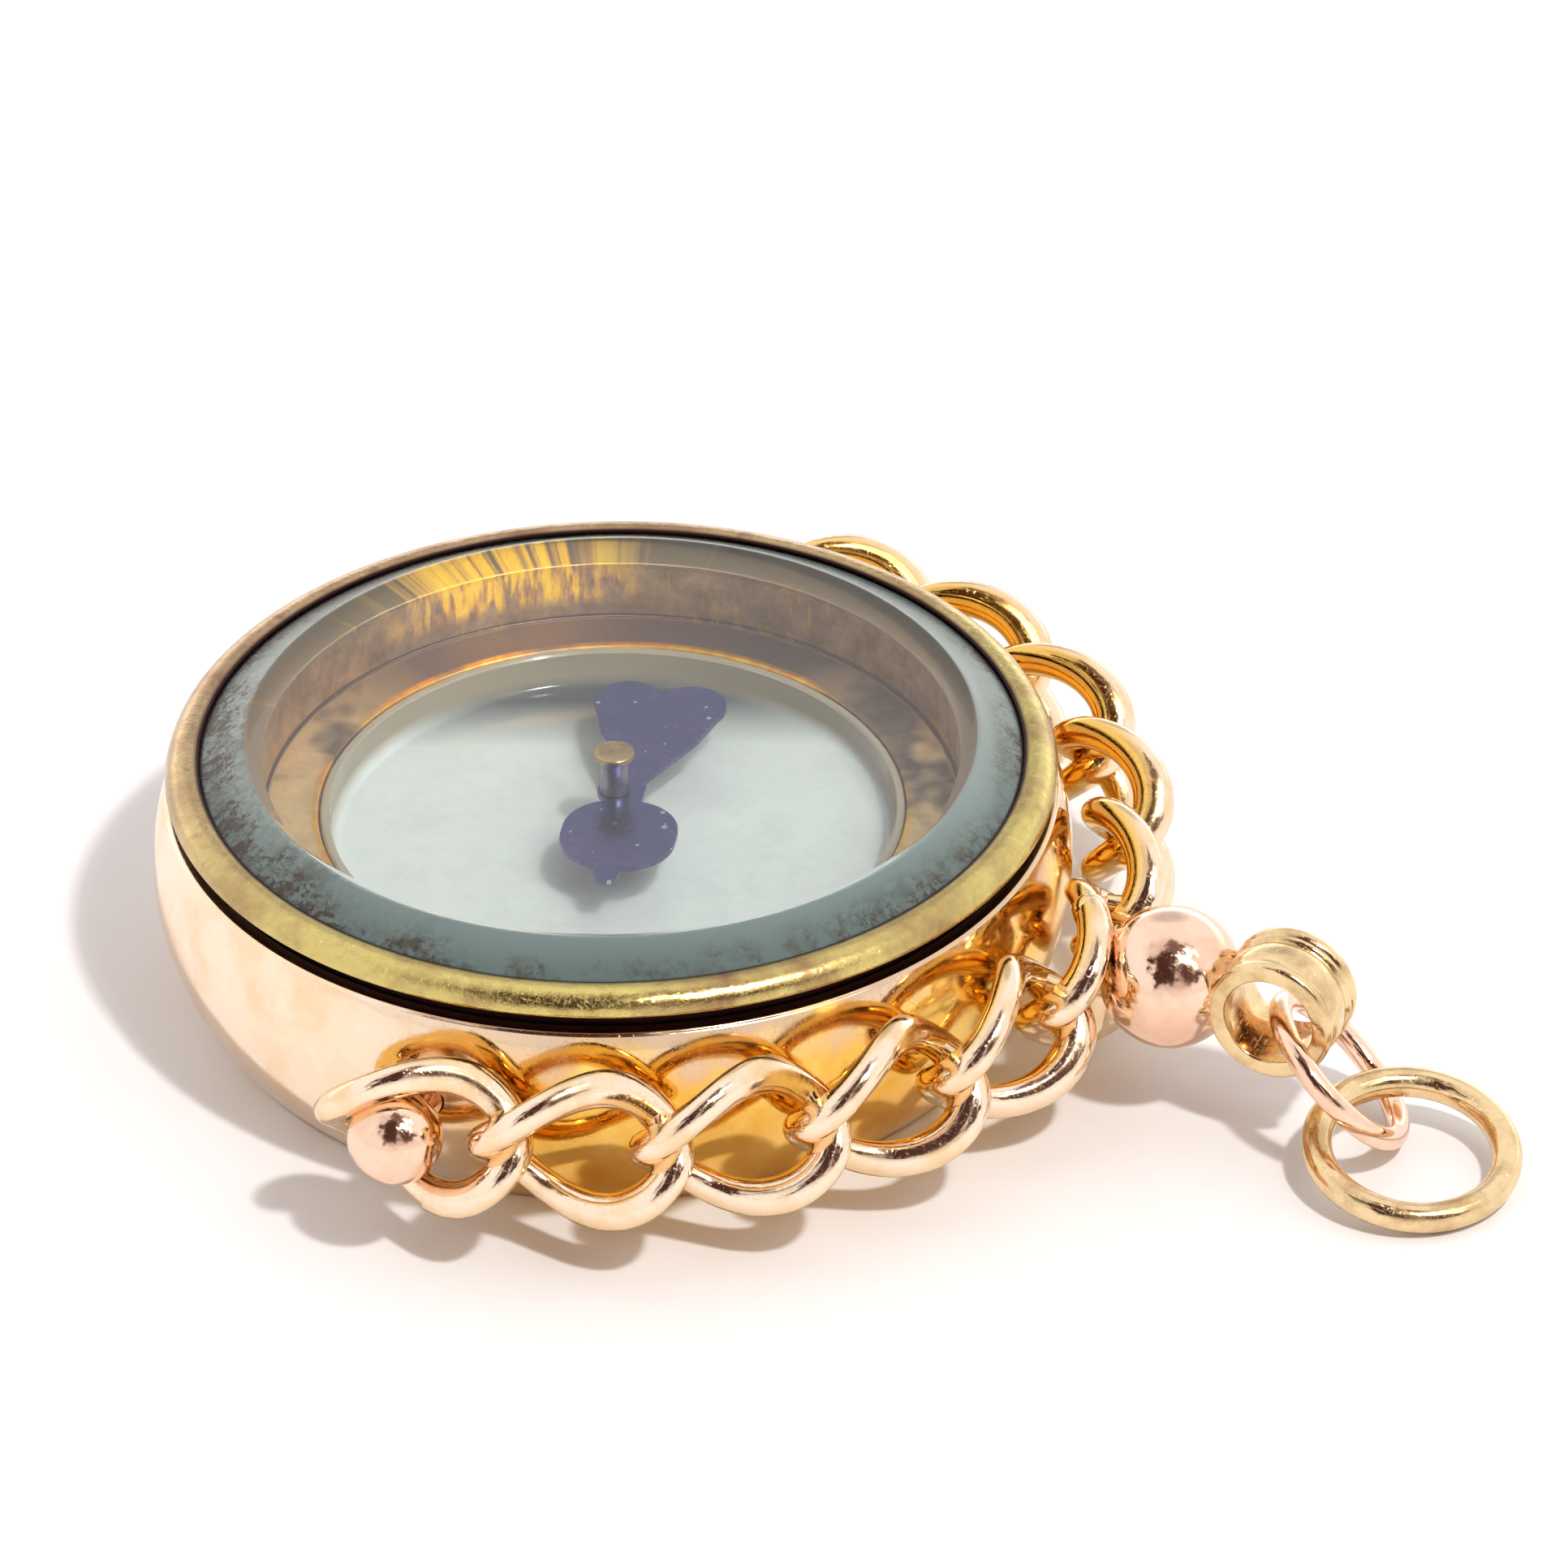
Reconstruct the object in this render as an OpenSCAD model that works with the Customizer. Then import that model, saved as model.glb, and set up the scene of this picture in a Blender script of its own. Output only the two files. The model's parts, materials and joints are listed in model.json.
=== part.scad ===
// Swivel compass pendant, lying on its flat back.
// Millimetres, +Z up. The origin is the middle of the flat back, the bow's top points to +X,
// and the two swivel pins lie along Y.

/* [Case] */
// Widest outside diameter of the case, part of the way up its side
case_d = 24.8; // [23:0.1:27]
// Height of the case from its flat back to its open lip
case_h = 6.15; // [5.8:0.05:6.6]
// Height of the widest part of the side above the flat back
belly_h = 4.05; // [3.6:0.05:4.4]
// Radius of the arc that domes the side from lip to back
side_r = 5.85; // [5:0.05:8]
// Thickness of the case at its lip
lip_t = 0.45; // [0.35:0.05:0.55]
// Thickness of the flat back
back_t = 0.6; // [0.4:0.05:1]
// Width of the flat back left round the hollow under the cup
side_t = 0.9; // [0.6:0.05:1.5]

/* [Cup] */
// Inside diameter of the wall that shows under the glass
cup_bore_d = 18.7; // [17.6:0.1:19.6]
// Diameter of the recess that holds the dial
recess_d = 15.7; // [14.4:0.1:16.4]
// Height of the dark gap between the lip of the case and the bezel
lip_gap = 0.45; // [0.3:0.05:0.7]
// Depth of the ledge below the rim of the cup
ledge_drop = 1.76; // [1.4:0.02:2]
// Depth of the dial recess below the ledge
recess_drop = 1.32; // [1:0.02:1.5]
// Thickness of the floor of the cup
cup_floor_t = 0.5; // [0.3:0.05:0.8]

/* [Bezel] */
// Width of the bezel from the lip of the case in to the glass
bezel_w = 0.91; // [0.82:0.01:1.1]
// Radius of the rounded top of the bezel
bezel_round = 0.65; // [0.6:0.01:0.8]
// How far the groove of the bezel reaches out over the edge of the glass
hold = 0.25; // [0.15:0.01:0.3]
// Wall of the skirt that drops into the case
skirt_t = 0.35; // [0.3:0.01:0.45]
// Depth of the skirt below the rim of the cup
skirt_h = 1.6; // [1:0.05:2]

/* [Crystal] */
// Thickness of the glass in its flat middle
crystal_t = 1.2; // [1.1:0.01:1.4]
// Diameter of the flat top of the glass
flat_d = 19.7; // [18.8:0.05:20.2]
// Height of the bevel round the glass
bevel_h = 0.86; // [0.8:0.01:0.95]

/* [Dial and needle] */
// Thickness of the floor of the dial
dial_t = 0.3; // [0.2:0.01:0.4]
// Thickness of the upstanding edge of the dial
dial_edge_t = 0.25; // [0.15:0.01:0.4]
// Diameter of the post under the needle
post_d = 0.3; // [0.2:0.01:0.34]
// Gap between the needle cap and the glass
cap_clear = 0.16; // [0.15:0.01:0.3]
// Diameter of the disc on top of the needle cap
cap_d = 1.1; // [1:0.02:1.4]
// Thickness of the disc on top of the needle cap
cap_t = 0.16; // [0.15:0.01:0.3]
// Diameter of the stem of the needle cap
stem_d = 0.8; // [0.74:0.01:0.9]
// Length of the stem between the disc and the needle
stem_h = 1.04; // [0.8:0.02:1.2]
// Diameter of the hollow in the stem that rides on the post
stem_bore_d = 0.42; // [0.4:0.01:0.46]
// Thickness of the needle
blade_t = 0.14; // [0.1:0.01:0.2]
// Diameter of the middle of the needle, round its hole
hub_d = 0.96; // [0.9:0.02:1.2]
// Length of the needle from its centre to the top of the heart
heart_len = 5.3; // [4.4:0.05:5.6]
// Width of the heart end of the needle
heart_w = 3.6; // [3:0.05:3.65]
// Diameter of each rounded ear of the heart
ear_d = 1.9; // [1.85:0.05:2.1]
// Width of the heart halfway along
heart_mid_w = 2.6; // [1.8:0.05:2.8]
// Angle below the middle of each ear where the side of the heart meets it
ear_turn = 12; // [8:1:16]
// Length of the needle from its centre to the tip of the stub
stub_len = 4.3; // [4:0.05:5]
// Width of the stub at the lobed end of the needle
stub_w = 0.68; // [0.5:0.02:0.9]
// Width across the two lobes of the needle
lobes_w = 3.1; // [2.9:0.02:3.4]
// Diameter of the rounding of each lobe
lobe_d = 2.8; // [1.6:0.05:2.8]
// Length of the two lobes
lobes_len = 3.2; // [2.9:0.05:3.4]
// Distance of the two lobes from the centre of the needle
lobe_gap = 0.45; // [0.3:0.05:0.5]
// How far the blade lies to one side of its hole
blade_shift = 0.46; // [0:0.01:0.5]
// Turn of the needle from the line of the pins
needle_turn = 13.5; // [0:0.5:360]
// How far the needle's post stands off the middle, towards the bow's top
post_x = 0; // [-0.4:0.01:0.4]
// How far the needle's post stands off the middle, towards the back pin
post_y = 0.2; // [-0.4:0.01:0.4]

/* [Swivel pins] */
// Height of the swivel pins above the flat back
pivot_h = 3.75; // [3.6:0.05:4]
// Diameter of the swivel pins
pin_d = 1; // [0.8:0.05:1.1]
// Diameter of the ball head of each pin
pin_ball_d = 2.56; // [2.3:0.02:2.64]
// Height of the ball head over the middle of the link that it holds
pin_ball_rise = 0.45; // [0.3:0.05:0.8]

/* [Curb bow] */
// Distance of the middle of the links from the widest part of the case
bow_stand = 1.5; // [1.5:0.05:2]
// Number of links in the bow
links = 11; // [11:2:13]
// Thickness of the wire of the links
wire_d = 1.02; // [0.9:0.01:1.06]
// Outside length of a link
link_len = 6.02; // [5.9:0.02:6.3]
// Outside width of a link
link_w = 4.62; // [4.6:0.02:4.9]
// Twist of a link from its middle to each end
link_twist = 50; // [40:1:52]
// Angle by which the middle of each end link stands off its pin
end_lead = 2.5; // [1.5:0.1:4]
// Size of the solder between two links
solder_d = 0.6; // [0.4:0.02:0.8]

/* [Ball and bail] */
// Diameter of the ball at the top of the bow
apex_ball_d = 3.84; // [3.6:0.02:4.2]
// How deep the ball is let into the wire of the middle link
ball_sink = 0.13; // [0.05:0.01:0.3]
// Height of the ball and the bail above the middle of the links
apex_rise = 0.3; // [0:0.05:0.5]
// Distance of the hole of the bail from the ball
bail_stand = 0.05; // [0:0.01:0.1]
// Inside diameter of the bail
bail_hole_d = 2.5; // [2.4:0.02:2.7]
// Radial thickness of the bail
bail_t = 0.53; // [0.4:0.01:0.6]
// Width of the bail along the pins
bail_w = 2.2; // [1.8:0.02:2.3]

/* [Jump rings] */
// Outside diameter of the thin rose-gold ring
rose_ring_d = 5.12; // [5.1:0.02:5.4]
// Wire of the thin rose-gold ring
rose_wire_d = 0.72; // [0.6:0.01:0.74]
// Outside diameter of the yellow-gold ring
gold_ring_d = 6; // [5.6:0.02:6.4]
// Wire of the yellow-gold ring
gold_wire_d = 0.9; // [0.8:0.01:0.94]
// Slope of the rose-gold ring, down from the bail
rose_fall = 44; // [42:0.5:46]
// How far the rose-gold ring passes below the middle of the bail's hole
rose_drop = 0.3; // [0.25:0.01:0.35]
// How far the middle of the rose-gold ring lies to the back of the bail's middle
rose_shift = 0.12; // [0:0.01:0.2]
// Sideways lean of the rose-gold ring
rose_lean = 20; // [18:0.5:22]
// How far the middle of the yellow-gold ring lies to the front of the rose-gold one's
gold_shift = 1.1; // [1.05:0.01:1.15]
// Slope of the yellow-gold ring, which lies on the floor
gold_fall = 9.3; // [8:0.1:11]
// Sideways lean of the yellow-gold ring
gold_lean = 7.6; // [7:0.1:9]

/* [Hidden] */
$fn = 96;

// Clearance between pieces that fit one inside the other
fit = 0.03;
// Clearance between pieces that lie face to face
seat = 0.02;

// Colours as the photo shows them
rose_gold = [0.93, 0.66, 0.53];
yellow_gold = [0.86, 0.68, 0.33];
green_gold = [0.78, 0.68, 0.36];
dull_brass = [0.45, 0.36, 0.27];
cap_brass = [0.7, 0.5, 0.24];
blued_steel = [0.24, 0.24, 0.42];
dial_white = [0.87, 0.9, 0.89];
glass_tint = [0.62, 0.72, 0.74, 0.4];

// Radii of the case, from the arc of its side
case_r = case_d / 2;
side_x = case_r - side_r;
lip_r = side_x + sqrt(side_r ^ 2 - (case_h - belly_h) ^ 2);
cavity_r = lip_r - lip_t;

// Heights of the stack inside the case
rim_z = case_h + lip_gap;
ledge_z = rim_z - ledge_drop;
recess_z = ledge_z - recess_drop;
cup_foot_z = recess_z - cup_floor_t;
dial_z = recess_z + seat;
dial_top_z = dial_z + dial_t;
glass_z = rim_z + seat;

// Radii of the stack inside the case
skirt_out_r = cavity_r - fit;
skirt_in_r = skirt_out_r - skirt_t;
cup_r = skirt_in_r - fit;
opening_r = lip_r - bezel_w;
groove_r = opening_r + hold;
crystal_r = groove_r - fit;
recess_r = recess_d / 2;
well_r = side_x + sqrt(side_r ^ 2 - belly_h ^ 2) - side_t;

// Needle and its cap, hung below the glass
cap_top_z = glass_z - cap_clear;
roof_z = cap_top_z - cap_t;
blade_z = roof_z - stem_h - blade_t - seat;
spigot_d = (stem_d + stem_bore_d) / 2;

// Radius of the bow, to the middle of the links
bow_r = case_r + bow_stand;

// Links of the bow: half length and half width of the middle of the wire
link_a = (link_len - wire_d) / 2;
link_b = (link_w - wire_d) / 2;
link_step = (180 - 2 * end_lead) / (links - 1);
half_pitch = bow_r * link_step * PI / 360;
crossing = acos(half_pitch / link_a);
wire_sides = 6;
wire_stations = 22;

// Middle of the ball head of each pin, from the middle of the case
pin_ball_r = bow_r + pin_ball_rise;

// Ball and bail beyond the middle link
apex_ball_x = bow_r + wire_d / 2 - ball_sink + apex_ball_d / 2;
apex_z = pivot_h + apex_rise;
bail_x = apex_ball_x + apex_ball_d / 2 + bail_stand + bail_hole_d / 2;

// Jump rings: the rose-gold one hangs in the bail, and the yellow-gold one runs through it
// and rests on the floor
rose_r = (rose_ring_d - rose_wire_d) / 2;
gold_r = (gold_ring_d - gold_wire_d) / 2;
rose_x = bail_x + rose_r * cos(rose_fall);
rose_y = rose_shift;
rose_z = apex_z - rose_drop - rose_r * sin(rose_fall);
gold_x = rose_x + gold_r * cos(gold_fall);
gold_y = rose_y - gold_shift;
gold_rise = sqrt(1 - (cos(gold_fall) * cos(gold_lean)) ^ 2);
gold_z = gold_wire_d / 2 + gold_r * gold_rise;

// Half section of the case as one solid: a flat back and a side that is one arc
module case_outline() {
    intersection() {
        square([case_r, case_h]);
        union() {
            translate([side_x, belly_h]) circle(side_r);
            square([side_x, case_h]);
        }
    }
}

// Carries a child along the swivel axis, out through one side of the case
module on_swivel(side) {
    translate([0, 0, pivot_h]) rotate([-90 * side, 0, 0]) children();
}

module case_band() {
    color(rose_gold) difference() {
        rotate_extrude() difference() {
            case_outline();
            translate([0, cup_foot_z]) square([cavity_r, case_h]);
            translate([0, back_t]) square([well_r, case_h]);
        }
        for (side = [-1, 1]) on_swivel(side) cylinder(d = pin_d + 2 * fit, h = case_r);
    }
}

module compass_cup() {
    color(dull_brass) rotate_extrude() difference() {
        translate([0, cup_foot_z + seat]) square([cup_r, rim_z - cup_foot_z - seat]);
        translate([0, ledge_z]) square([cup_bore_d / 2, case_h]);
        translate([0, recess_z]) square([recess_r, case_h]);
    }
}

// Section of the glass from its axis out, grown by a clearance
module crystal_outline(gap = 0) {
    edge_z = glass_z + crystal_t - bevel_h;
    polygon([
        [0, glass_z - gap],
        [crystal_r + gap, glass_z - gap],
        [crystal_r + gap, edge_z + gap],
        [flat_d / 2 + gap, glass_z + crystal_t + gap],
        [0, glass_z + crystal_t + gap]
    ]);
}

module crystal() {
    color(glass_tint) rotate_extrude() crystal_outline();
}

module bezel() {
    color(green_gold) rotate_extrude() difference() {
        union() {
            intersection() {
                translate([lip_r - bezel_round, rim_z]) circle(bezel_round);
                translate([opening_r, rim_z]) square([lip_r - opening_r, bezel_round]);
            }
            translate([skirt_in_r, rim_z - skirt_h]) square([skirt_t, skirt_h + bezel_round / 2]);
        }
        crystal_outline(fit);
    }
}

module dial() {
    dial_r = recess_r - fit;
    color(dial_white) difference() {
        rotate_extrude() difference() {
            translate([0, dial_z]) square([dial_r, ledge_z - dial_z]);
            translate([0, dial_top_z]) square([dial_r - dial_edge_t, recess_drop]);
        }
        on_post() cylinder(d = post_d + 2 * fit, h = dial_top_z);
    }
}

// Places a child on the axis of the needle
module on_post() {
    translate([post_x, post_y]) children();
}

module needle_post() {
    color(cap_brass) on_post() translate([0, 0, recess_z + seat])
        cylinder(d = post_d, h = roof_z - recess_z - 2 * seat);
}

// Outline of the needle, its heart towards +Y and its lobes and stub towards -Y
module needle_outline() {
    ear_r = ear_d / 2;
    ear_x = heart_w / 2 - ear_r;
    ear_y = heart_len - ear_r;
    flank_x = ear_x + (ear_r - seat) * cos(ear_turn);
    flank_y = ear_y - (ear_r - seat) * sin(ear_turn);
    lobe_r = lobe_d / 2;
    lobe_x = lobes_w / 2 - lobe_r;
    near_y = -lobe_gap - lobe_r;
    far_y = -lobe_gap - lobes_len + lobe_r;
    circle(d = hub_d);
    translate([blade_shift, 0]) {
        for (side = [-1, 1]) {
            translate([side * ear_x, ear_y]) circle(ear_r);
            translate([side * lobe_x, near_y]) circle(lobe_r);
            translate([side * lobe_x, far_y]) circle(lobe_r);
        }
        polygon([
            [0, 0],
            [heart_mid_w / 2, heart_len / 2],
            [flank_x, flank_y],
            [ear_x, ear_y],
            [-ear_x, ear_y],
            [-flank_x, flank_y],
            [-heart_mid_w / 2, heart_len / 2]
        ]);
        translate([-lobes_w / 2, far_y]) square([lobes_w, near_y - far_y]);
        translate([-stub_w / 2, stub_w / 2 - stub_len]) square([stub_w, stub_len]);
        translate([0, stub_w / 2 - stub_len]) circle(d = stub_w);
    }
}

module needle() {
    color(blued_steel) on_post() translate([0, 0, blade_z]) rotate(needle_turn)
        linear_extrude(blade_t) difference() {
            needle_outline();
            circle(d = spigot_d + 2 * fit);
        }
}

module needle_cap() {
    color(cap_brass) on_post() rotate_extrude() {
        translate([0, roof_z]) square([cap_d / 2, cap_t]);
        translate([stem_bore_d / 2, blade_z + blade_t + seat])
            square([(stem_d - stem_bore_d) / 2, stem_h + cap_t]);
        translate([stem_bore_d / 2, blade_z])
            square([(spigot_d - stem_bore_d) / 2, cap_top_z - blade_z]);
    }
}

module swivel_pin(side) {
    color(rose_gold) on_swivel(side) {
        translate([0, 0, cavity_r]) cylinder(d = pin_d, h = pin_ball_r - cavity_r);
        translate([0, 0, pin_ball_r]) sphere(d = pin_ball_d);
    }
}

module swivel_pin_front() {
    swivel_pin(-1);
}

module swivel_pin_back() {
    swivel_pin(1);
}

// Angle round the bow of the middle of link i, from the front pin at -90 to the back one at 90
function link_angle(i) = -90 + end_lead + i * link_step;

// Point t round the middle of the wire of link i: an oval, twisted along its length and then
// bent round the bow
function wire_point(i, t) =
    let (
        along = link_a * cos(t),
        across = link_b * sin(t),
        twist = -link_twist * along / link_a,
        r = bow_r + across * sin(twist),
        angle = link_angle(i) + along / bow_r * 180 / PI
    )
    [r * cos(angle), r * sin(angle), pivot_h + across * cos(twist)];

// One ring of points round the wire of link i at t
function wire_ring(i, t) =
    let (
        middle = [bow_r * cos(link_angle(i)), bow_r * sin(link_angle(i)), pivot_h],
        point = wire_point(i, t),
        along = unit(wire_point(i, t + 1) - wire_point(i, t - 1)),
        out = unit((point - middle) - ((point - middle) * along) * along),
        side = cross(along, out)
    )
    [for (k = [0 : wire_sides - 1])
        let (a = 360 * k / wire_sides)
        point + wire_d / 2 * (cos(a) * out + sin(a) * side)];

function unit(v) = v / norm(v);

module curb_link(i) {
    rings = [for (s = [0 : wire_stations - 1]) each wire_ring(i, 360 * s / wire_stations)];
    faces = [for (s = [0 : wire_stations - 1], k = [0 : wire_sides - 1])
        let (
            next = (s + 1) % wire_stations,
            beside = (k + 1) % wire_sides
        )
        [s * wire_sides + k, next * wire_sides + k,
            next * wire_sides + beside, s * wire_sides + beside]];
    polyhedron(rings, faces);
}

// Solder between two points, thick at both ends
module solder(from, to, d = solder_d) {
    hull() {
        translate(from) sphere(d = d, $fn = 8);
        translate(to) sphere(d = d, $fn = 8);
    }
}

module bail() {
    translate([bail_x, 0, apex_z]) rotate([90, 0, 0]) rotate_extrude($fn = 16)
        translate([bail_hole_d / 2, -bail_w / 2]) square([bail_t, bail_w]);
}

module curb_bow() {
    middle = (links - 1) / 2;
    color(yellow_gold) difference() {
        union() {
            for (i = [0 : links - 1]) curb_link(i);
            for (i = [0 : links - 2]) {
                for (turn = [crossing, -crossing])
                    solder(wire_point(i, turn), wire_point(i + 1, 180 - turn));
                solder(wire_point(i, 0), wire_point(i + 1, 180), wire_d);
            }
            for (turn = [90, -90])
                solder([bow_r + wire_d / 2, 0, apex_z], wire_point(middle, turn), wire_d);
            translate([apex_ball_x, 0, apex_z]) sphere(d = apex_ball_d, $fn = 16);
            bail();
        }
        // Seats of the ball heads of the pins in the end links
        for (side = [-1, 1]) on_swivel(side)
            translate([0, 0, pin_ball_r]) sphere(d = pin_ball_d + 4 * fit, $fn = 20);
    }
}

module jump_ring(x, y, z, lean, fall, r, wire) {
    translate([x, y, z]) rotate([lean, fall, 0]) rotate_extrude() translate([r, 0]) circle(d = wire);
}

module rose_jump_ring() {
    color(rose_gold) jump_ring(rose_x, rose_y, rose_z, -rose_lean, rose_fall, rose_r, rose_wire_d);
}

module gold_jump_ring() {
    color(yellow_gold) jump_ring(gold_x, gold_y, gold_z, gold_lean, gold_fall, gold_r, gold_wire_d);
}

case_band();
compass_cup();
bezel();
crystal();
dial();
needle_post();
needle();
needle_cap();
swivel_pin_front();
swivel_pin_back();
curb_bow();
rose_jump_ring();
gold_jump_ring();
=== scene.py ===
"""Swivel compass pendant in gold, lying on its back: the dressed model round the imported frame."""

import json
import math

import bpy
from bpy.props import FloatProperty, IntProperty, PointerProperty
from mathutils import Matrix, Vector


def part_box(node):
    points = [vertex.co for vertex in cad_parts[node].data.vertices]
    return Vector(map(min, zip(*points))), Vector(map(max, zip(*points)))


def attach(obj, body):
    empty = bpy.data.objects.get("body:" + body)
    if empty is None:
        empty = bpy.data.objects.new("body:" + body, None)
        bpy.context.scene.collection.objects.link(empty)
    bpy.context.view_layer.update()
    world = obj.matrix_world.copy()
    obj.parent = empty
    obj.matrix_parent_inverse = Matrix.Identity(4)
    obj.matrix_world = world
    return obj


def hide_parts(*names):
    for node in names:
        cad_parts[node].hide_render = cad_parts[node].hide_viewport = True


bl_info = {
    "name": "Compass pendant",
    "version": (1, 0, 0),
    "blender": (4, 5, 0),
    "location": "View3D > Sidebar > Compass pendant",
    "description": "Builds a gold swivel compass pendant, piece by piece, on its frame",
    "category": "Object",
}

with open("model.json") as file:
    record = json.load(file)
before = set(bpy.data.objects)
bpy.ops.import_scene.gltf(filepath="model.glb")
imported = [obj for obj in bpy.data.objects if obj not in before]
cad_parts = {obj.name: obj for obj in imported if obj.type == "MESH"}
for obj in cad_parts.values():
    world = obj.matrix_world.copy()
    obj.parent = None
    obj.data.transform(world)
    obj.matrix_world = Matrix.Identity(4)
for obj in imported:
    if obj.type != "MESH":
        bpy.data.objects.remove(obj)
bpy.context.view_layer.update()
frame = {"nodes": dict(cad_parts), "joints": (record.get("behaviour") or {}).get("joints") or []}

MM = 0.001

# Clearances round a piece and between two faces, as in the solids
FIT = 0.03 * MM
SEAT = 0.02 * MM


def joint_place(name):
    """Where a joint of the frame turns."""
    joint = next(j for j in frame["joints"] if j["name"] == name)
    return Vector(joint["pos_m"])


CASE_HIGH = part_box("case_band")[1]
BEZEL_LOW, BEZEL_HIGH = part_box("bezel")
CUP_LOW, CUP_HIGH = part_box("compass_cup")
GLASS_LOW, GLASS_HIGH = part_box("crystal")
DIAL_LOW, DIAL_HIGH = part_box("dial")
CAP_LOW, CAP_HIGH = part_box("needle_cap")
POST_LOW, POST_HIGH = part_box("needle_post")
NEEDLE_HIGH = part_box("needle")[1]
BACK_PIN_LOW, BACK_PIN_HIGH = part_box("swivel_pin_back")
BOW_LOW, BOW_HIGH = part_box("curb_bow")
SWIVEL = joint_place("case_swivel")


# Settings

def length(name, description, mm):
    """A length setting, its default in millimetres."""
    return FloatProperty(name=name, description=description, default=mm * MM, unit="LENGTH")


def turn_by(name, description, degrees):
    """An angle setting, its default in degrees."""
    return FloatProperty(name=name, description=description, default=math.radians(degrees),
                         subtype="ANGLE", unit="ROTATION")


class PendantSizes(bpy.types.PropertyGroup):
    """Sizes of the pieces that the frame gives only roughly."""

    turn_steps: IntProperty(
        name="Turning steps", description="Faces round a turned piece", default=192, min=24)
    side_radius: length("Case side radius", "Radius of the arc of the case's side", 5.85)
    belly_height: length("Belly height", "Height of the widest part of the case", 4.05)
    lip_wall: length("Lip wall", "Thickness of the case at its lip", 0.45)
    bezel_round: length("Bezel rounding", "Radius of the crown of the bezel", 0.65)
    bezel_width: length("Bezel width", "Width of the bezel seen from above", 0.91)
    skirt_wall: length("Skirt wall", "Thickness of the skirt under the bezel", 0.35)
    flat_radius: length("Flat of the glass", "Radius of the flat top of the glass", 9.85)
    bevel_height: length("Bevel of the glass", "Height of the bevel round the glass", 0.86)
    cup_bore: length("Cup bore", "Inside radius of the wall under the glass", 9.35)
    ledge_drop: length("Ledge depth", "Depth of the ledge below the rim of the cup", 1.76)
    recess_radius: length("Recess radius", "Radius of the recess that holds the dial", 7.85)
    cup_floor: length("Cup floor", "Thickness of the floor of the cup", 0.48)
    dial_edge: length("Dial edge", "Thickness of the upstanding edge of the dial", 0.25)
    dial_floor: length("Dial floor", "Thickness of the floor of the dial", 0.3)
    cap_disc: length("Cap disc", "Thickness of the disc on top of the needle cap", 0.16)
    stem_radius: length("Stem radius", "Radius of the stem of the needle cap", 0.4)
    pin_radius: length("Pin radius", "Radius of the swivel pins", 0.5)
    bow_radius: length("Bow radius", "Radius of the bow, to the middle of the links", 13.9)
    links: IntProperty(
        name="Links", description="Number of curb links in the bow", default=11, min=3)
    end_lead: turn_by("End lead", "Angle by which each end link stands off its pin", 2.5)
    link_length: length("Link length", "Outside length of a link", 6.02)
    link_width: length("Link width", "Outside width of a link", 4.62)
    link_twist: turn_by("Link twist", "Twist of a link from its middle to each end", 50)
    wire: length("Wire", "Thickness of the wire of the links", 1.02)
    ball_radius: length("Ball radius", "Radius of the ball at the top of the bow", 1.92)
    bail_hole: length("Bail hole", "Radius of the hole of the bail", 1.25)
    bail_wall: length("Bail wall", "Radial thickness of the bail", 0.53)
    bail_width: length("Bail width", "Width of the bail along the pins", 2.2)
    rose_wire: length("Rose ring wire", "Wire of the thin jump ring", 0.72)
    gold_wire: length("Gold ring wire", "Wire of the larger jump ring", 0.9)


# Modelling helpers

def clear_selection():
    """Nothing selected, no mode open."""
    if bpy.context.mode != "OBJECT":
        bpy.ops.object.mode_set(mode="OBJECT")
    bpy.ops.object.select_all(action="DESELECT")


def pick(*objects):
    """Selects the given objects, the last one active."""
    clear_selection()
    for obj in objects:
        obj.select_set(True)
    bpy.context.view_layer.objects.active = objects[-1]


def bake(obj):
    """Puts the object's place, turn and scale into its mesh."""
    pick(obj)
    bpy.ops.object.transform_apply(location=True, rotation=True, scale=True)
    return obj


def smooth(obj, angle=35):
    """Smooth faces, with edges sharper than the angle kept sharp."""
    pick(obj)
    bpy.ops.object.shade_smooth_by_angle(angle=math.radians(angle))
    return obj


def arc(x, z, radius, start, end, count):
    """Points on an arc, angles in degrees from the axis outward."""
    points = []
    for i in range(count + 1):
        a = math.radians(start + (end - start) * i / count)
        points.append((x + radius * math.cos(a), z + radius * math.sin(a)))
    return points


def turned(name, outline, steps, closed=False):
    """Turns an outline of (radius, height) points about Z, as on a lathe."""
    clear_selection()
    first = outline[0]
    bpy.ops.mesh.primitive_plane_add(size=MM, location=(first[0], 0, first[1]))
    obj = bpy.context.active_object
    obj.name = name
    obj.data.name = name
    bpy.ops.object.transform_apply(location=True, rotation=True, scale=True)
    bpy.ops.object.mode_set(mode="EDIT")
    bpy.ops.mesh.select_mode(type="VERT")
    bpy.ops.mesh.select_all(action="SELECT")
    bpy.ops.mesh.merge(type="CENTER")
    path = list(outline[1:]) + ([first] if closed else [])
    last = first
    for point in path:
        move = (point[0] - last[0], 0, point[1] - last[1])
        bpy.ops.mesh.extrude_region_move(TRANSFORM_OT_translate={"value": move})
        last = point
    bpy.ops.mesh.select_all(action="SELECT")
    bpy.ops.mesh.spin(steps=steps, angle=math.tau, center=(0, 0, 0), axis=(0, 0, 1))
    bpy.ops.mesh.select_all(action="SELECT")
    bpy.ops.mesh.remove_doubles(threshold=1e-6)
    bpy.ops.mesh.normals_make_consistent(inside=False)
    bpy.ops.object.mode_set(mode="OBJECT")
    return smooth(obj)


def place(obj, location=(0, 0, 0), rotation=(0, 0, 0)):
    """Moves and turns a piece for good."""
    obj.location = location
    obj.rotation_euler = rotation
    return bake(obj)


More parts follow.
